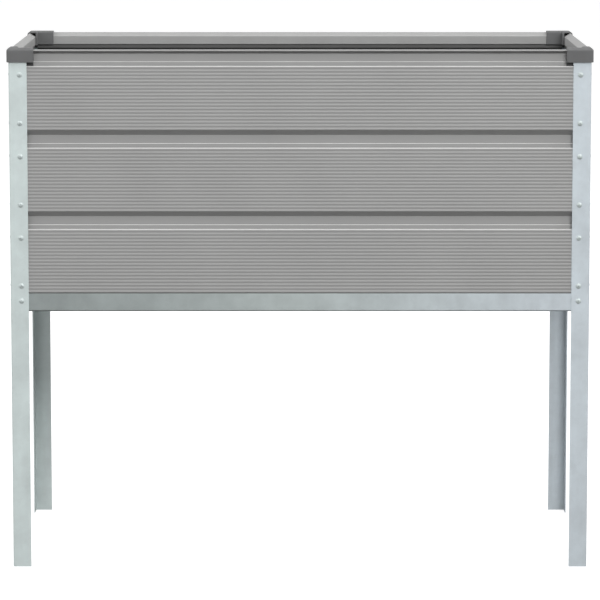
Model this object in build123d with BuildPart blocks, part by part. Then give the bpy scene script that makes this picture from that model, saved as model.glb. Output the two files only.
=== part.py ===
from build123d import *
from math import asin, degrees
import os

# A raised planter on legs, in millimetres. The origin is on the ground under its middle, +Z is up
# and the front faces -Y. Four corner angles are the legs. Three courses of ribbed sheet boards are
# bolted between them, with a rail below that carries the floor panels, a folded rail along the rim
# and a moulded cap on each corner.

# Overall size, over the corner caps
LENGTH = 1000
DEPTH = 500
HEIGHT = 900

# Legs: equal angles, set in from the caps' outer faces
LEG_FLANGE = 31
FRAME_SHEET = 1.5
FRAME_BEND = 2.5
LEG_INSET = 3.1
LEG_TOP = HEIGHT - 7

# Boards: outlines are measured outward from the crest of the ribs and up from the ledge
COURSES = {"top": 869, "middle": 729, "bottom": 589}
BOARD_SHEET = 0.8
BOARD_BEND = 1.8
LEDGE_INNER_BEND = 0.3
STEP_BEND = 0.5
LEDGE_WIDTH = 6.8
FLANGE_SETBACK = 8
FLANGE_HEIGHT = 21
STEP_BOTTOM = 6
STEP_TOP = 7
RIB_COUNT = 18
RIB_PITCH = 5.85
RIB_DEPTH = FRAME_SHEET - BOARD_SHEET
RIB_FLAT = 2.3
RIB_SLOPE = RIB_PITCH / 2 - RIB_FLAT
RIB_FIELD_BOTTOM = 109
HEM_SETBACK = 9
HEM_HEIGHT = 3.5
END_GAP = 11.4

# Bottom rails: the same angle as the legs, lying along each side
RAIL_BOTTOM = 447
NOTCH_LENGTH = 21
NOTCH_HEIGHT = 4
NOTCH_SETBACK = 2.6

# Top rails: a short lip outside, a sloping crown and a longer inner wall
TRIM_SHEET = 1
TRIM_LIP_OUT = 1.2
TRIM_LIP_BOTTOM = 894.8
TRIM_PEAK = 898.3
TRIM_SHOULDER = 891
TRIM_SETBACK = 10.1
TRIM_WALL_BOTTOM = 876
TRIM_CROWN_ROUND = 1.2
TRIM_SHOULDER_ROUND = 2
TRIM_END_GAP = 25.4

# Corner caps
CAP_BOTTOM = 875.5
CAP_ARM = 45.6
CAP_WIDTH = 17.7
CAP_WALL = 2.3
CAP_CORNER_ROUND = 4
CAP_OUTER_ROUND = 5.5
CAP_INNER_ROUND = 3.8
CORE_OUTER = 7.4
CORE_INNER = 10.8
CORE_CLEARANCE = 0.2
CORE_TOP = 888
RISER_LENGTH = 29
RISER_INTO_SHELL = 1
TOUCHING = 0.01

# Floor panels
PANEL_COUNT = 4
PANEL_SHEET = 0.8
PANEL_BEND = 2
PANEL_TURN_UP = 8
PANEL_GAP = 1
FLOOR_HALF_LENGTH = 490
FLOOR_HALF_DEPTH = 240
DRAIN_DIAMETER = 8
DRAIN_ROWS = 5
DRAIN_COLUMNS = 3
DRAIN_ROW_PITCH = 80
DRAIN_COLUMN_PITCH = 70

# Fasteners: M5 dome-head bolts with washers and hexagon nuts
BOLTS_BELOW_LEDGE = (15, 98)
RAIL_BOLT_HEIGHT = 465
BOLT_FROM_CREST = 17.3
HOLE_DIAMETER = 5.5
HOLE_CUT = 5
BOLT_DIAMETER = 5
BOLT_LENGTH = 10
BOLT_TIP_CHAMFER = 0.6
HEAD_DIAMETER = 9
HEAD_HEIGHT = 1.9
HEAD_RIM = 0.4
RECESS_LENGTH = 3.6
RECESS_WIDTH = 0.8
RECESS_DEPTH = 1.1
WASHER_DIAMETER = 10
WASHER_BORE = 5.3
WASHER_THICKNESS = 1
NUT_ACROSS_FLATS = 8
NUT_BORE = 5.1
NUT_HEIGHT = 4
NUT_CHAMFER = 0.5

UP = Vector(0, 0, 1)
WALLS = {
    "front": Vector(0, -1, 0),
    "rear": Vector(0, 1, 0),
    "left": Vector(-1, 0, 0),
    "right": Vector(1, 0, 0),
}
CORNERS = {
    "front_left": (-1, -1),
    "front_right": (1, -1),
    "rear_left": (-1, 1),
    "rear_right": (1, 1),
}
CREST_INSET = LEG_INSET + FRAME_SHEET
CREST_X = LENGTH / 2 - CREST_INSET
CREST_Y = DEPTH / 2 - CREST_INSET


def faces_sideways(wall):
    """Whether the wall is one of the two short ends."""
    return wall in ("left", "right")


def crest(wall):
    """How far the boards' outer face is from the middle of the planter."""
    return CREST_X if faces_sideways(wall) else CREST_Y


def next_crest(wall):
    """The same distance for the two walls beside this one."""
    return CREST_Y if faces_sideways(wall) else CREST_X


def section_plane(wall):
    """An upright plane across the wall: x is outward from the boards' outer face, y is height."""
    outward = WALLS[wall]
    return Plane(origin=outward * crest(wall), x_dir=outward, z_dir=outward.cross(UP))


def face_plane(wall, out=0):
    """A plane along the wall, out from the boards' outer face: x is along it, y is height."""
    outward = WALLS[wall]
    return Plane(origin=outward * (crest(wall) + out), x_dir=UP.cross(outward), z_dir=outward)


def bolt_heights():
    """The height of every bolt in a leg flange, from the top down."""
    heights = [ledge - below for ledge in COURSES.values() for below in BOLTS_BELOW_LEDGE]
    return heights + [RAIL_BOLT_HEIGHT]


def bolt_spots(wall, heights):
    """Bolt positions on a wall's face plane, near both of its ends."""
    across = next_crest(wall) - BOLT_FROM_CREST
    return [(side * across, height) for height in heights for side in (-1, 1)]


def at_corner(corner, inward_points):
    """Plan points from (inward along X, inward along Y), measured from the caps' outer faces."""
    side_x, side_y = CORNERS[corner]
    return [(side_x * (LENGTH / 2 - u), side_y * (DEPTH / 2 - v)) for u, v in inward_points]


def elbow(corner, outer, inner, length):
    """Plan points of an L that turns the corner, from the outer to the inner distance."""
    outline = [(outer, outer), (length, outer), (length, inner)]
    outline += [(inner, inner), (inner, length), (outer, length)]
    return at_corner(corner, outline)


def save(piece, name):
    """Names the piece and writes it."""
    piece.part.label = name
    export_step(piece.part, f"parts/{name}.step")


def make_leg(corner):
    """An equal angle with a row of bolt holes down each flange."""
    side_x, side_y = CORNERS[corner]
    far = LEG_INSET + LEG_FLANGE
    spine = at_corner(corner, [(far, LEG_INSET), (LEG_INSET, LEG_INSET), (LEG_INSET, far)])
    inside = Side.RIGHT if side_x * side_y > 0 else Side.LEFT
    with BuildPart() as leg:
        with BuildSketch(Plane.XY):
            with BuildLine():
                FilletPolyline(*spine, radius=FRAME_BEND)
                offset(amount=FRAME_SHEET, side=inside)
            make_face()
        extrude(amount=LEG_TOP)
        flange_walls = ("left" if side_x < 0 else "right", "front" if side_y < 0 else "rear")
        for wall in flange_walls:
            with BuildSketch(face_plane(wall, FRAME_SHEET)):
                with Locations(*bolt_spots(wall, bolt_heights())):
                    Circle(HOLE_DIAMETER / 2)
            extrude(amount=-HOLE_CUT, mode=Mode.SUBTRACT)
    save(leg, f"leg_{corner}")


def board_outline():
    """The outer face of a board from its top edge down, and the bend radius at each corner."""
    outline = [
        (-FLANGE_SETBACK, FLANGE_HEIGHT),
        (-FLANGE_SETBACK, STEP_TOP),
        (-LEDGE_WIDTH, STEP_BOTTOM),
        (-LEDGE_WIDTH, 0),
        (0, 0),
    ]
    bends = [STEP_BEND, STEP_BEND, LEDGE_INNER_BEND, BOARD_BEND]
    for rib in range(RIB_COUNT):
        crest_bottom = (RIB_COUNT - rib) * RIB_PITCH - RIB_FIELD_BOTTOM
        valley_top = crest_bottom - RIB_SLOPE
        valley_bottom = valley_top - RIB_FLAT
        outline += [
            (0, crest_bottom),
            (-RIB_DEPTH, valley_top),
            (-RIB_DEPTH, valley_bottom),
            (0, valley_bottom - RIB_SLOPE),
        ]
        bends += [0, 0, 0, 0]
    hem_top = -RIB_FIELD_BOTTOM - HEM_SETBACK
    outline += [
        (0, -RIB_FIELD_BOTTOM),
        (-HEM_SETBACK, hem_top),
        (-HEM_SETBACK, hem_top - HEM_HEIGHT),
    ]
    bends += [BOARD_BEND, BOARD_BEND]
    return outline, bends


def make_board(wall, course):
    """A ribbed board: a set-back flange, a ledge, ribs, and an undercut slope with a hem."""
    ledge = COURSES[course]
    outline, bends = board_outline()
    heights = [ledge - below for below in BOLTS_BELOW_LEDGE]
    with BuildPart() as board:
        with BuildSketch(section_plane(wall)):
            with BuildLine():
                FilletPolyline(*[(out, ledge + height) for out, height in outline], radius=bends)
                offset(amount=BOARD_SHEET, side=Side.RIGHT, kind=Kind.INTERSECTION)
            make_face()
        extrude(amount=next_crest(wall) - END_GAP, both=True)
        with BuildSketch(face_plane(wall, FRAME_SHEET)):
            with Locations(*bolt_spots(wall, heights)):
                Circle(HOLE_DIAMETER / 2)
        extrude(amount=-HOLE_CUT, mode=Mode.SUBTRACT)
    save(board, f"board_{wall}_{course}")


def make_bottom_rail(wall):
    """An angle along the foot of the boards, with its inward flange under the floor panels."""
    half_length = next_crest(wall) - END_GAP
    with BuildPart() as rail:
        with BuildSketch(section_plane(wall)):
            with BuildLine():
                FilletPolyline(
                    (0, RAIL_BOTTOM + LEG_FLANGE),
                    (0, RAIL_BOTTOM),
                    (-LEG_FLANGE, RAIL_BOTTOM),
                    radius=FRAME_BEND,
                )
                offset(amount=FRAME_SHEET, side=Side.RIGHT)
            make_face()
        extrude(amount=half_length, both=True)
        with BuildSketch(face_plane(wall, FRAME_SHEET)):
            with Locations(*bolt_spots(wall, [RAIL_BOLT_HEIGHT])):
                Circle(HOLE_DIAMETER / 2)
        extrude(amount=-HOLE_CUT, mode=Mode.SUBTRACT)
        if faces_sideways(wall):
            # The long rails' ledges pass here, so the short rails' ledges stop before them.
            with BuildSketch(face_plane(wall, -NOTCH_SETBACK)):
                for side in (-1, 1):
                    with Locations((side * (half_length - NOTCH_LENGTH / 2), RAIL_BOTTOM)):
                        Rectangle(NOTCH_LENGTH, NOTCH_HEIGHT)
            extrude(amount=-LEG_FLANGE, mode=Mode.SUBTRACT)
    save(rail, f"bottom_rail_{wall}")


def make_top_rail(wall):
    """A folded trim that hooks over the top board's flange, between the caps."""
    with BuildPart() as rail:
        with BuildSketch(section_plane(wall)):
            with BuildLine():
                FilletPolyline(
                    (TRIM_LIP_OUT, TRIM_LIP_BOTTOM),
                    (TRIM_LIP_OUT, TRIM_PEAK),
                    (-TRIM_SETBACK, TRIM_SHOULDER),
                    (-TRIM_SETBACK, TRIM_WALL_BOTTOM),
                    radius=[TRIM_CROWN_ROUND, TRIM_SHOULDER_ROUND],
                )
                offset(amount=TRIM_SHEET, side=Side.LEFT)
            make_face()
        extrude(amount=next_crest(wall) - TRIM_END_GAP, both=True)
    save(rail, f"top_rail_{wall}")


def make_corner_cap(corner):
    """An open elbow shell over the leg and the rail ends, with a core that stands on the ledges."""
    with BuildPart() as cap:
        with BuildSketch(Plane.XY.offset(CAP_BOTTOM)):
            with BuildLine():
                Polyline(*elbow(corner, 0, CAP_WIDTH, CAP_ARM), close=True)
            make_face()
        extrude(amount=HEIGHT - CAP_BOTTOM)
        inner_x = LENGTH / 2 - CAP_WIDTH
        inner_y = DEPTH / 2 - CAP_WIDTH
        uprights = cap.edges().filter_by(Axis.Z)
        fillet(uprights.sort_by(lambda e: abs(e.center().X) + abs(e.center().Y))[-1], CAP_CORNER_ROUND)
        top = cap.edges().group_by(Axis.Z)[-1]
        rim = top.filter_by(
            lambda e: abs(e.center().X) > LENGTH / 2 - CAP_CORNER_ROUND
            or abs(e.center().Y) > DEPTH / 2 - CAP_CORNER_ROUND
        )
        fillet(rim, CAP_OUTER_ROUND)
        top = cap.edges().group_by(Axis.Z)[-1]
        bay = top.filter_by(
            lambda e: abs(e.center().X) < inner_x + TOUCHING and abs(e.center().Y) < inner_y + TOUCHING
        )
        fillet(bay, CAP_INNER_ROUND)
        openings = cap.faces().filter_by(
            lambda f: f.geom_type == GeomType.PLANE
            and (
                abs(f.center().Z - CAP_BOTTOM) < TOUCHING
                or abs(abs(f.center().X) - (LENGTH / 2 - CAP_ARM)) < TOUCHING
                or abs(abs(f.center().Y) - (DEPTH / 2 - CAP_ARM)) < TOUCHING
            )
        )
        offset(amount=-CAP_WALL, openings=openings)
        core_bottom = COURSES["top"] + CORE_CLEARANCE
        with BuildSketch(Plane.XY.offset(core_bottom)):
            with BuildLine():
                Polyline(*elbow(corner, CORE_OUTER, CORE_INNER, CAP_ARM), close=True)
            make_face()
        extrude(amount=CORE_TOP - core_bottom)
        with BuildSketch(Plane.XY.offset(core_bottom)):
            with BuildLine():
                Polyline(*elbow(corner, CORE_OUTER, CORE_INNER, RISER_LENGTH), close=True)
            make_face()
        extrude(amount=HEIGHT - CAP_WALL + RISER_INTO_SHELL - core_bottom)
    save(cap, f"corner_cap_{corner}")


def make_floor_panel(index):
    """A shallow tray across the planter, resting on the long rails, with drain holes."""
    pitch = (2 * FLOOR_HALF_LENGTH + PANEL_GAP) / PANEL_COUNT
    middle = (index - (PANEL_COUNT - 1) / 2) * pitch
    half_width = (pitch - PANEL_GAP) / 2
    underside = RAIL_BOTTOM + FRAME_SHEET
    with BuildPart() as panel:
        with BuildSketch(Plane.XZ):
            with BuildLine():
                FilletPolyline(
                    (middle - half_width, underside + PANEL_TURN_UP),
                    (middle - half_width, underside),
                    (middle + half_width, underside),
                    (middle + half_width, underside + PANEL_TURN_UP),
                    radius=PANEL_BEND,
                )
                offset(amount=PANEL_SHEET, side=Side.LEFT)
            make_face()
        extrude(amount=FLOOR_HALF_DEPTH, both=True)
        with BuildSketch(Plane.XY.offset(underside)):
            with Locations((middle, 0)):
                with GridLocations(DRAIN_COLUMN_PITCH, DRAIN_ROW_PITCH, DRAIN_COLUMNS, DRAIN_ROWS):
                    Circle(DRAIN_DIAMETER / 2)
        extrude(amount=HOLE_CUT, mode=Mode.SUBTRACT)
    save(panel, f"floor_panel_{index + 1}")


def make_one_bolt():
    """A bolt that stands on its tip: a low dome head with a cross recess, and a plain shank."""
    radius = HEAD_DIAMETER / 2
    rise = HEAD_HEIGHT - HEAD_RIM
    sphere = (radius**2 + rise**2) / (2 * rise)
    reach = degrees(asin(radius / sphere))
    shank = BOLT_DIAMETER / 2
    with BuildPart() as bolt:
        with BuildSketch(Plane.XZ):
            with BuildLine():
                CenterArc((0, HEAD_HEIGHT - sphere), sphere, 90 - reach, reach)
                Polyline(
                    (radius, HEAD_RIM),
                    (radius, 0),
                    (shank, 0),
                    (shank, BOLT_TIP_CHAMFER - BOLT_LENGTH),
                    (shank - BOLT_TIP_CHAMFER, -BOLT_LENGTH),
                    (0, -BOLT_LENGTH),
                    (0, HEAD_HEIGHT),
                )
            make_face()
        revolve(axis=Axis.Z)
        with BuildSketch(Plane.XY.offset(HEAD_HEIGHT)):
            Rectangle(RECESS_LENGTH, RECESS_WIDTH)
            Rectangle(RECESS_WIDTH, RECESS_LENGTH)
        extrude(amount=-RECESS_DEPTH, mode=Mode.SUBTRACT)
    return bolt.part


def make_bolts(wall):
    """The bolts of a wall, with their heads on the leg flanges and their shanks through the boards."""
    one_bolt = make_one_bolt()
    with BuildPart(face_plane(wall, FRAME_SHEET)) as bolts:
        with Locations(*bolt_spots(wall, bolt_heights())):
            add(one_bolt)
    save(bolts, f"{wall}_bolts")


def make_washers(wall):
    """Flat washers behind the boards and the rail."""
    with BuildPart() as washers:
        with BuildSketch(face_plane(wall, -FRAME_SHEET)):
            with Locations(*bolt_spots(wall, bolt_heights())):
                Circle(WASHER_DIAMETER / 2)
                Circle(WASHER_BORE / 2, mode=Mode.SUBTRACT)
        extrude(amount=-WASHER_THICKNESS)
    save(washers, f"{wall}_washers")


def make_nuts(wall):
    """Hexagon nuts on the washers."""
    outward = Axis((0, 0, 0), WALLS[wall])
    with BuildPart() as nuts:
        with BuildSketch(face_plane(wall, -FRAME_SHEET - WASHER_THICKNESS)):
            with Locations(*bolt_spots(wall, bolt_heights())):
                RegularPolygon(NUT_ACROSS_FLATS / 2, side_count=6, major_radius=False)
        extrude(amount=-NUT_HEIGHT)
        chamfer(nuts.faces().group_by(outward)[0].edges(), NUT_CHAMFER)
        with BuildSketch(face_plane(wall, -FRAME_SHEET - WASHER_THICKNESS)):
            with Locations(*bolt_spots(wall, bolt_heights())):
                Circle(NUT_BORE / 2)
        extrude(amount=-NUT_HEIGHT, mode=Mode.SUBTRACT)
    save(nuts, f"{wall}_nuts")


os.makedirs("parts", exist_ok=True)
for corner_name in CORNERS:
    make_leg(corner_name)
    make_corner_cap(corner_name)
for wall_name in WALLS:
    for course_name in COURSES:
        make_board(wall_name, course_name)
    make_bottom_rail(wall_name)
    make_top_rail(wall_name)
    make_bolts(wall_name)
    make_washers(wall_name)
    make_nuts(wall_name)
for panel_index in range(PANEL_COUNT):
    make_floor_panel(panel_index)
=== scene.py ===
import math
import bpy
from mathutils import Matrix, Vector


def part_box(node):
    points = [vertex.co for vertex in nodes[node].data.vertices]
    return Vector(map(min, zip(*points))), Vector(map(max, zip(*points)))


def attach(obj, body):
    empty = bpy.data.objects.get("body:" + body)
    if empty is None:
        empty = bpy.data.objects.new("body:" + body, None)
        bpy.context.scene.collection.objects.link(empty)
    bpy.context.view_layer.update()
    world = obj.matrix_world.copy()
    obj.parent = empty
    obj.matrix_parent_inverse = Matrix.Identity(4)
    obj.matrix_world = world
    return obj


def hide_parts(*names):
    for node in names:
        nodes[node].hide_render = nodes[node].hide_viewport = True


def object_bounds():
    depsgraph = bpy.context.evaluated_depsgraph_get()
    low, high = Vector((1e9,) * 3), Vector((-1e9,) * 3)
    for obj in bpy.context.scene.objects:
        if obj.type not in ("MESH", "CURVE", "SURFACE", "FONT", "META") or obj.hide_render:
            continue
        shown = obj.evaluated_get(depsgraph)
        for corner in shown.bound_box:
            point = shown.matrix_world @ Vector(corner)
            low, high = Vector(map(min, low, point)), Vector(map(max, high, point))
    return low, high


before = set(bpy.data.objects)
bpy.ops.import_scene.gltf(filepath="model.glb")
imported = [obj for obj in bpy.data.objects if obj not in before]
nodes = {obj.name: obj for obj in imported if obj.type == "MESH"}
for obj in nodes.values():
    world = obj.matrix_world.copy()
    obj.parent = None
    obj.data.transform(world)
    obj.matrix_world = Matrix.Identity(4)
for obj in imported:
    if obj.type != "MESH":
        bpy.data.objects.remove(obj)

# Raised planter on legs, in metres. The legs, rails, caps, floor and fasteners stay as the CAD
# has them and get their finishes here. The rolled boards are rebuilt with soft, wavy ribs.
cad_low, cad_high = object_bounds()
scene = bpy.context.scene

WALLS = {
    "front": Vector((0, -1, 0)),
    "rear": Vector((0, 1, 0)),
    "left": Vector((-1, 0, 0)),
    "right": Vector((1, 0, 0)),
}
CORNERS = ("front_left", "front_right", "rear_left", "rear_right")
COURSES = ("top", "middle", "bottom")
FASTENERS = ("bolts", "washers", "nuts")
UP = Vector((0, 0, 1))
MM = 0.001
CAP_SHELL_BOTTOM = 875.5 * MM


# Shader nodes --------------------------------------------------------------------------------

WHITE = (1, 1, 1)
# The colour sockets of a Mix node, which shares their names with its other kinds of socket
MIX_A = 6
MIX_B = 7
MIX_RESULT = 2
# How far either side of its middle value a texture reaches its dark and its light tone
WIDE = 0.25
MEDIUM = 0.2
NARROW = 0.15


def node(tree, kind, values=None, **settings):
    """Adds a shader node, with its settings and the values of its unlinked inputs."""
    made = tree.nodes.new(kind)
    for name, value in settings.items():
        setattr(made, name, value)
    for name, value in (values or {}).items():
        made.inputs[name].default_value = value
    return made


def link(tree, source, target):
    tree.links.new(source, target)


def grey(value, tint=WHITE):
    """An RGBA colour from a linear grey and a tint."""
    return (value * tint[0], value * tint[1], value * tint[2], 1)


def empty_material(name):
    """A new material with only a Principled shader and its output."""
    material = bpy.data.materials.new(name)
    material.use_nodes = True
    tree = material.node_tree
    tree.nodes.clear()
    shader = node(tree, "ShaderNodeBsdfPrincipled")
    output = node(tree, "ShaderNodeOutputMaterial")
    link(tree, shader.outputs["BSDF"], output.inputs["Surface"])
    return material, tree, shader


def object_place(tree):
    """The place on the planter, in metres, that the textures follow."""
    return node(tree, "ShaderNodeTexCoord").outputs["Object"]


def component(tree, vector, axis):
    """The X, Y or Z of a vector."""
    split = node(tree, "ShaderNodeSeparateXYZ")
    link(tree, vector, split.inputs["Vector"])
    return split.outputs[axis]


def between(tree, fac, low, high):
    """A number that runs from 0 at low to 1 at high."""
    made = node(tree, "ShaderNodeMapRange", {"From Min": low, "From Max": high})
    link(tree, fac, made.inputs["Value"])
    return made.outputs["Result"]


def noise(tree, place, scale, detail=3.0, roughness=0.5):
    """A noise texture at a place, in waves per metre."""
    made = node(tree, "ShaderNodeTexNoise", {"Scale": scale, "Detail": detail, "Roughness": roughness})
    link(tree, place, made.inputs["Vector"])
    return made.outputs["Fac"]


def ramp(tree, fac, stops):
    """A colour ramp with (position, colour) stops."""
    made = node(tree, "ShaderNodeValToRGB")
    elements = made.color_ramp.elements
    while len(elements) < len(stops):
        elements.new(0.5)
    for element, (position, colour) in zip(elements, stops):
        element.position = position
        element.color = colour
    link(tree, fac, made.inputs["Fac"])
    return made.outputs["Color"]


def two_tone(tree, fac, dark, light, reach=MEDIUM):
    """A colour that runs from dark to light about the middle of a texture's range."""
    return ramp(tree, fac, [(0.5 - reach, dark), (0.5 + reach, light)])


def uneven(tree, fac, low, high):
    """A number that runs from low to high as a texture goes from dark to light."""
    made = node(tree, "ShaderNodeMapRange", {
        "From Min": 0.5 - MEDIUM, "From Max": 0.5 + MEDIUM, "To Min": low, "To Max": high,
    })
    link(tree, fac, made.inputs["Value"])
    return made.outputs["Result"]


def multiply(tree, *colours):
    """The product of several colours."""
    product = colours[0]
    for colour in colours[1:]:
        made = node(tree, "ShaderNodeMix", {"Factor": 1.0}, data_type="RGBA", blend_type="MULTIPLY")
        link(tree, product, made.inputs[MIX_A])
        link(tree, colour, made.inputs[MIX_B])
        product = made.outputs[MIX_RESULT]
    return product


def bump(tree, shader, height, distance):
    made = node(tree, "ShaderNodeBump", {"Distance": distance, "Strength": 1.0})
    link(tree, height, made.inputs["Height"])
    link(tree, made.outputs["Normal"], shader.inputs["Normal"])


def stretched(tree, place, scale):
    """The place scaled along each axis, for grain that runs one way."""
    made = node(tree, "ShaderNodeMapping", {"Scale": scale})
    link(tree, place, made.inputs["Vector"])
    return made.outputs["Vector"]


def along_length(tree, place, stops):
    """A colour that changes along the planter, from its left end at 0 to its right end at 1."""
    return ramp(tree, between(tree, component(tree, place, "X"), cad_low[0], cad_high[0]), stops)


# Finishes ------------------------------------------------------------------------------------
# Scales are in waves per metre, depths are of the finest grain, and shades are factors of the colour.

ZINC_CLOUDS = 26
ZINC_CLOUD_DETAIL = 4.0
ZINC_CLOUD_ROUGHNESS = 0.55
ZINC_STREAKS = (70, 70, 5)
ZINC_CRYSTALS = 130
ZINC_GRAIN = 420

PAINT_PATCHES = 9
PATCH_SHADES = (0.975, 1.02)
PAINT_SPECKS = 1400
SPECK_SHADE = 0.97
PAINT_GRAIN = 700
PAINT_GRAIN_DEPTH = 0.03 * MM
PAINT_METALLIC = 0.15
PAINT_ROUGHNESS = (0.42, 0.5)

# Painted highlight and shade, by how far the sheet's outer face looks up: Z of the normal, 0 upright, 1
# level
UPRIGHT = 0.35
BEND_START = 0.5
BEND_END = 0.95
LEVEL = 0.99
# painted shade on the level ledges
LEDGE_PAINTED_SHADE = 0.7

PLASTIC_FLOW = 40
FLOW_SHADES = (0.95, 1.05)
PLASTIC_GRAIN = 1600
PLASTIC_GRAIN_DEPTH = 0.06 * MM
PLASTIC_ROUGHNESS = 0.6
PLASTIC_SPECULAR = 0.25
# Painted shadow on the cap's core below the shell's bottom edge, fading in over CORE_EDGE
CORE_PAINTED_SHADOW = 0.4
CORE_EDGE = MM
CORE_DARK_BELOW = 0.5
SHELL_FROM = 0.9

PLATE_WEAR = 300
WEAR_SHADE = 0.9
PLATE_GRAIN = 900
PLATE_GRAIN_DEPTH = 0.03 * MM
PLATE_METALLIC = 0.3
PLATE_ROUGHNESS = (0.50, 0.60)


def galvanised(name, value, tints, metallic=0.55, roughness=0.45, cloud=0.08, spangle=0.04, relief=0.06):
    """Hot-dip zinc: soft grey clouds, faint crystals and slightly uneven gloss. The relief is in mm."""
    material, tree, shader = empty_material(name)
    place = object_place(tree)
    clouds = noise(tree, place, ZINC_CLOUDS, ZINC_CLOUD_DETAIL, ZINC_CLOUD_ROUGHNESS)
    streaks = noise(tree, stretched(tree, place, ZINC_STREAKS), 1)
    crystals = node(tree, "ShaderNodeTexVoronoi", {"Scale": ZINC_CRYSTALS, "Randomness": 1.0})
    link(tree, place, crystals.inputs["Vector"])
    shader.inputs["Metallic"].default_value = metallic
    colour = multiply(
        tree,
        two_tone(tree, clouds, grey(value * (1 - cloud)), grey(value * (1 + cloud)), WIDE),
        along_length(tree, place, [(at, grey(shade, tint)) for at, shade, tint in tints]),
        two_tone(tree, streaks, grey(1 - cloud / 2), grey(1)),
        ramp(tree, crystals.outputs["Color"], [(0, grey(1 - spangle)), (1, grey(1))]),
    )
    link(tree, colour, shader.inputs["Base Color"])
    link(tree, uneven(tree, clouds, roughness - cloud, roughness + cloud), shader.inputs["Roughness"])
    bump(tree, shader, noise(tree, place, ZINC_GRAIN), relief * MM)
    return material


def painted(name, value, tint, bend_painted_highlight=1.0):
    """Coil-coated sheet with a fine orange-peel skin, painted highlight on upper bends, painted shade on
    level ledges.
    """
    material, tree, shader = empty_material(name)
    place = object_place(tree)
    patches = noise(tree, place, PAINT_PATCHES)
    dark, light = PATCH_SHADES
    specks = noise(tree, place, PAINT_SPECKS, 2.0)
    facing_up = component(tree, node(tree, "ShaderNodeNewGeometry").outputs["Normal"], "Z")
    shader.inputs["Metallic"].default_value = PAINT_METALLIC
    colour = multiply(
        tree,
        two_tone(tree, patches, grey(value * dark, tint), grey(value * light, tint)),
        two_tone(tree, specks, grey(SPECK_SHADE), grey(1), NARROW),
        # painted highlight on the upper bends and painted shade on the level ledges, by the normal's Z
        ramp(tree, facing_up, [
            (UPRIGHT, grey(1)),
            (BEND_START, grey(bend_painted_highlight)),
            (BEND_END, grey(bend_painted_highlight)),
            (LEVEL, grey(LEDGE_PAINTED_SHADE)),
        ]),
    )
    link(tree, colour, shader.inputs["Base Color"])
    link(tree, uneven(tree, patches, *PAINT_ROUGHNESS), shader.inputs["Roughness"])
    bump(tree, shader, noise(tree, place, PAINT_GRAIN, 2.0), PAINT_GRAIN_DEPTH)
    return material


def moulded(name, value, tint):
    """Moulded plastic with a fine spark-eroded grain, and a painted shadow on the core below the cap's
    shell.
    """
    material, tree, shader = empty_material(name)
    place = object_place(tree)
    flow = noise(tree, place, PLASTIC_FLOW, 2.0)
    dark, light = FLOW_SHADES
    height = between(tree, component(tree, place, "Z"), CAP_SHELL_BOTTOM - CORE_EDGE, CAP_SHELL_BOTTOM)
    shader.inputs["Roughness"].default_value = PLASTIC_ROUGHNESS
    shader.inputs["Specular IOR Level"].default_value = PLASTIC_SPECULAR
    colour = multiply(
        tree,
        two_tone(tree, flow, grey(value * dark, tint), grey(value * light, tint)),
        # painted shadow on the core below the shell
        ramp(tree, height, [(CORE_DARK_BELOW, grey(CORE_PAINTED_SHADOW)), (SHELL_FROM, grey(1))]),
    )
    link(tree, colour, shader.inputs["Base Color"])
    bump(tree, shader, noise(tree, place, PLASTIC_GRAIN, 2.0), PLASTIC_GRAIN_DEPTH)
    return material


def zinc_plated(name, value, tint):
    """Dull zinc plate on the fasteners, slightly worn by handling."""
    material, tree, shader = empty_material(name)
    place = object_place(tree)
    wear = noise(tree, place, PLATE_WEAR)
    shader.inputs["Metallic"].default_value = PLATE_METALLIC
    colour = two_tone(tree, wear, grey(value * WEAR_SHADE, tint), grey(value, tint))
    link(tree, colour, shader.inputs["Base Color"])
    link(tree, uneven(tree, wear, *PLATE_ROUGHNESS), shader.inputs["Roughness"])
    bump(tree, shader, noise(tree, place, PLATE_GRAIN, 2.0), PLATE_GRAIN_DEPTH)
    return material


COOL = (0.90, 1.0, 0.99)
BLUISH = (0.913, 1.0, 1.058)
NEUTRAL = (1.0, 1.0, 0.99)
CHARCOAL = (0.98, 0.99, 1.0)

# Tints along the planter: (place from 0 at the left to 1 at the right, shade, colour)
LEG_TINTS = [(0, 1.0, COOL), (1, 0.93, BLUISH)]
RAIL_TINTS = [(0.05, 0.52, COOL), (0.2, 0.62, COOL), (0.5, 0.78, COOL), (0.95, 1.0, BLUISH)]
FLOOR_TINTS = [(0, 1.0, COOL), (1, 1.0, COOL)]
TRIM_TINTS = [(0, 1.0, NEUTRAL), (1, 1.0, NEUTRAL)]

# the boards' upper bends get a painted highlight
board_paint = painted("board_paint", 0.335, NEUTRAL, bend_painted_highlight=2.1)
back_coat = painted("back_coat", 0.11, NEUTRAL)
leg_zinc = galvanised("leg_zinc", 0.74, LEG_TINTS, roughness=0.6)
rail_zinc = galvanised("rail_zinc", 0.70, RAIL_TINTS)
trim_zinc = galvanised(
    "trim_zinc", 0.36, TRIM_TINTS, metallic=0.2, roughness=0.42, cloud=0.03, spangle=0.02, relief=0.01
)
floor_zinc = galvanised("floor_zinc", 0.60, FLOOR_TINTS, cloud=0.1, spangle=0.12)
cap_plastic = moulded("cap_plastic", 0.137, CHARCOAL)
bolt_zinc = zinc_plated("bolt_zinc", 0.64, COOL)


# Boards --------------------------------------------------------------------------------------
# A board's profile is seen from its end, as (out, height). It starts at the top of the flange, and
# comes down over a small step and a level ledge to the ribs and the hem. Height 0 is at the ledge.

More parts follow.
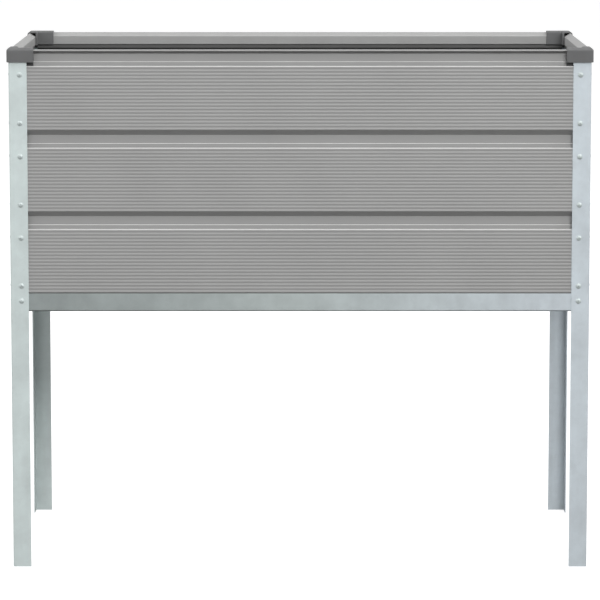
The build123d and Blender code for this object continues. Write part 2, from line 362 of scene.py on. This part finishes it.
SHEET = 0.8 * MM
FLANGE_SETBACK = 8 * MM
FLANGE_HEIGHT = 21 * MM
STEP_TOP = 7.4 * MM
STEP_BOTTOM = 6.7 * MM
STEP_BEND = 0.5 * MM
LEDGE_WIDTH = 6.8 * MM
LEDGE_INNER_BEND = 0.3 * MM
BOARD_BEND = 1.8 * MM
HEM_SETBACK = 9 * MM
HEM_HEIGHT = 3.5 * MM
RIB_COUNT = 18
RIB_PITCH = 5.85 * MM
RIB_DEPTH = 0.32 * MM
RIB_STEPS = 10
FIRST_CREST = 2.55 * MM
RIB_FIELD_BOTTOM = 109 * MM
BEND_STEPS = 6
STATIONS = 13
SHARP_ANGLE = 35


def bend(before, here, after, radius):
    """Points along the arc that rounds the corner at here, between its two neighbours."""
    to_before = (before - here).normalized()
    to_after = (after - here).normalized()
    half = to_before.angle(to_after) / 2
    middle = here + (to_before + to_after).normalized() * radius / math.sin(half)
    reach = radius / math.tan(half)
    start = here + to_before * reach - middle
    turn = start.angle_signed(here + to_after * reach - middle)
    points = []
    for step in range(BEND_STEPS + 1):
        angle = -turn * step / BEND_STEPS
        points.append(middle + Vector((
            start.x * math.cos(angle) - start.y * math.sin(angle),
            start.x * math.sin(angle) + start.y * math.cos(angle),
        )))
    return points


def rounded(corners):
    """Turns (out, height, radius) corners into points, with an arc at each corner that has a radius."""
    spots = [Vector((out, height)) for out, height, _ in corners]
    points = []
    for i, (_, _, radius) in enumerate(corners):
        if radius:
            points += bend(spots[i - 1], spots[i], spots[i + 1], radius)
        else:
            points.append(spots[i])
    return points


def board_face(ledge):
    """The outer face of a board whose ledge is at that height, from its top edge down."""
    top = rounded([
        (-FLANGE_SETBACK, FLANGE_HEIGHT, 0),
        (-FLANGE_SETBACK, STEP_TOP, STEP_BEND),
        (-LEDGE_WIDTH, STEP_BOTTOM, STEP_BEND),
        (-LEDGE_WIDTH, 0, LEDGE_INNER_BEND),
        (0, 0, BOARD_BEND),
        (0, -FIRST_CREST, 0),
    ])
    ribs = []
    for step in range(1, RIB_COUNT * RIB_STEPS + 1):
        turn = step / RIB_STEPS
        ribs.append(Vector((
            -RIB_DEPTH * (1 - math.cos(2 * math.pi * turn)) / 2,
            -FIRST_CREST - turn * RIB_PITCH,
        )))
    hem_top = -RIB_FIELD_BOTTOM - HEM_SETBACK
    hem = rounded([
        (0, ribs[-1].y, 0),
        (0, -RIB_FIELD_BOTTOM, BOARD_BEND),
        (-HEM_SETBACK, hem_top, BOARD_BEND),
        (-HEM_SETBACK, hem_top - HEM_HEIGHT, 0),
    ])
    return [Vector((p.x, p.y + ledge)) for p in top + ribs + hem[1:]]


def inner_face(points):
    """The same line one sheet thickness inward, mitred at each point."""
    inner = []
    for i, point in enumerate(points):
        before = (point - points[i - 1]).normalized() if i else None
        after = (points[i + 1] - point).normalized() if i < len(points) - 1 else None
        along = (before + after).normalized() if before and after else (before or after)
        stretch = along.dot(after or before)
        inner.append(point + Vector((along.y, -along.x)) * SHEET / stretch)
    return inner


def sheet_vertices(wall, crest, half_length, outer):
    """The vertices of a folded sheet, station by station: the outer line, then the inner line."""
    outward = WALLS[wall]
    along = UP.cross(outward)
    lines = outer + inner_face(outer)
    vertices = []
    for station in range(STATIONS):
        offset = along * half_length * (2 * station / (STATIONS - 1) - 1)
        for point in lines:
            vertices.append(outward * (crest + point.x) + UP * point.y + offset)
    return vertices


def sheet_faces(count):
    """The faces of a folded sheet with count points in its line: all but its back, and its back."""
    faces = []
    backs = []
    ring = 2 * count
    last = count - 1
    for station in range(STATIONS - 1):
        here = station * ring
        there = here + ring
        for i in range(last):
            faces.append((here + i, here + i + 1, there + i + 1, there + i))
            j = count + i
            backs.append((here + j, there + j, there + j + 1, here + j + 1))
        faces.append((here, there, there + count, here + count))
        faces.append((here + last, here + last + count, there + last + count, there + last))
    for i in range(last):
        faces.append((i, i + count, i + count + 1, i + 1))
        far = (STATIONS - 1) * ring + i
        faces.append((far, far + 1, far + count + 1, far + count))
    return faces, backs


def folded_sheet(name, wall, crest, half_length, outer):
    """A closed, painted mesh of a folded sheet that runs along a wall."""
    faces, backs = sheet_faces(len(outer))
    mesh = bpy.data.meshes.new(name)
    mesh.from_pydata(sheet_vertices(wall, crest, half_length, outer), [], faces + backs)
    mesh.materials.append(board_paint)
    mesh.materials.append(back_coat)
    for polygon in mesh.polygons[len(faces):]:
        polygon.material_index = 1
    mesh.shade_smooth()
    mesh.set_sharp_from_angle(angle=math.radians(SHARP_ANGLE))
    made = bpy.data.objects.new(name, mesh)
    scene.collection.objects.link(made)
    weighted = made.modifiers.new("flat_faces", "WEIGHTED_NORMAL")
    weighted.keep_sharp = True
    return made


def make_board(wall, course):
    """The sheet that stands for one CAD board. Its place and length come from that board."""
    cad_name = f"board_{wall}_{course}"
    low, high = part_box(cad_name)
    outward = WALLS[wall]
    crest = max(outward.dot(low), outward.dot(high))
    along = UP.cross(outward)
    half_length = abs(along.dot(high - low)) / 2
    ledge = high.z - FLANGE_HEIGHT
    board = folded_sheet(f"ribbed_{cad_name}", wall, crest, half_length, board_face(ledge))
    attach(board, "root")
    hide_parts(cad_name)


for wall_name in WALLS:
    for course_name in COURSES:
        make_board(wall_name, course_name)


# CAD nodes that stay -------------------------------------------------------------------------


def finish_node(name, material):
    nodes[name].data.materials[0] = material


for corner_name in CORNERS:
    finish_node(f"leg_{corner_name}", leg_zinc)
    finish_node(f"corner_cap_{corner_name}", cap_plastic)
for wall_name in WALLS:
    finish_node(f"bottom_rail_{wall_name}", rail_zinc)
    finish_node(f"top_rail_{wall_name}", trim_zinc)
    for fastener in FASTENERS:
        finish_node(f"{wall_name}_{fastener}", bolt_zinc)
for panel_name in sorted(n for n in nodes if n.startswith("floor_panel")):
    finish_node(panel_name, floor_zinc)


# Stage, light and camera ---------------------------------------------------------------------

FLOOR_SIZE = 120
PAPER_GREY = 0.35
PAPER_ROUGHNESS = 0.9
PAPER_SPECULAR = 0.1
PAPER_GLOW = 0.84

# Brightness of the studio air, by height from straight down at 0 to straight up at 1
AIR_BANDS = [(0.34, 0.05), (0.40, 0.55), (0.46, 1.0), (0.52, 1.0), (0.60, 0.40)]

# Softboxes: azimuth, elevation, distance, size and power. Azimuth 0 is the front, 90 the right end.
LAMP_TARGET = Vector((0, 0, 0.55))
SOFTBOXES = {
    "key": (18, 29, 14.0, (6.0, 4.6), 930),
    "fill": (-32, 12, 8.0, (4.0, 2.0), 48),
    "right": (78, 35, 8.0, (4.0, 3.0), 210),
    "left": (-78, 35, 8.0, (4.0, 3.0), 220),
    "overhead": (0, 84, 3.4, (2.4, 1.6), 34),
    "rear_right": (135, 28, 8.0, (4.0, 3.0), 150),
    "rear_left": (-135, 28, 8.0, (4.0, 3.0), 120),
}

CAMERA_PLACE = (0, -6.020, 1.2776)
CAMERA_TILT_DOWN = 7.183
CAMERA_LENS = 203.6
CAMERA_SENSOR = 36
CAMERA_SHIFT = -0.08
CAMERA_NEAR = 0.1
CAMERA_FAR = 200


def make_floor():
    """A high-key studio floor. It glows, so that the planter's shadow hardly shows on it."""
    mesh = bpy.data.meshes.new("studio_floor")
    half = FLOOR_SIZE / 2
    corners = [(-half, -half, 0), (half, -half, 0), (half, half, 0), (-half, half, 0)]
    mesh.from_pydata(corners, [], [(0, 1, 2, 3)])
    floor = bpy.data.objects.new("studio_floor", mesh)
    scene.collection.objects.link(floor)
    material, tree, shader = empty_material("studio_paper")
    shader.inputs["Base Color"].default_value = grey(PAPER_GREY)
    shader.inputs["Roughness"].default_value = PAPER_ROUGHNESS
    shader.inputs["Specular IOR Level"].default_value = PAPER_SPECULAR
    shader.inputs["Emission Color"].default_value = grey(1)
    shader.inputs["Emission Strength"].default_value = PAPER_GLOW
    mesh.materials.append(material)
    floor.visible_diffuse = False
    floor.visible_glossy = False


def make_world():
    """Soft studio air: a bright horizon, dimmer above and dark towards the floor."""
    world = bpy.data.worlds.new("studio")
    scene.world = world
    world.use_nodes = True
    tree = world.node_tree
    tree.nodes.clear()
    direction = node(tree, "ShaderNodeTexCoord").outputs["Generated"]
    height = between(tree, component(tree, direction, "Z"), -1, 1)
    shade = ramp(tree, height, [(at, grey(brightness)) for at, brightness in AIR_BANDS])
    sky = node(tree, "ShaderNodeBackground", {"Strength": 1.0})
    output = node(tree, "ShaderNodeOutputWorld")
    link(tree, shade, sky.inputs["Color"])
    link(tree, sky.outputs["Background"], output.inputs["Surface"])


def make_softbox(name, azimuth, elevation, distance, size, power):
    """A soft lamp aimed at the planter."""
    data = bpy.data.lights.new(name, "AREA")
    data.shape = "RECTANGLE"
    data.size, data.size_y = size
    data.energy = power
    lamp = bpy.data.objects.new(name, data)
    scene.collection.objects.link(lamp)
    turn = math.radians(azimuth)
    rise = math.radians(elevation)
    direction = Vector((math.sin(turn) * math.cos(rise), -math.cos(turn) * math.cos(rise), math.sin(rise)))
    lamp.location = LAMP_TARGET + direction * distance
    lamp.rotation_euler = (-direction).to_track_quat("-Z", "Y").to_euler()


def make_camera():
    data = bpy.data.cameras.new("camera")
    data.lens = CAMERA_LENS
    data.sensor_width = CAMERA_SENSOR
    data.shift_y = CAMERA_SHIFT
    data.clip_start = CAMERA_NEAR
    data.clip_end = CAMERA_FAR
    camera = bpy.data.objects.new("camera", data)
    scene.collection.objects.link(camera)
    camera.location = CAMERA_PLACE
    camera.rotation_euler = (math.radians(90 - CAMERA_TILT_DOWN), 0, 0)
    scene.camera = camera


make_floor()
make_world()
for lamp_name, lamp_settings in SOFTBOXES.items():
    make_softbox(lamp_name, *lamp_settings)
make_camera()
scene.view_settings.view_transform = "Standard"
scene.view_settings.look = "None"
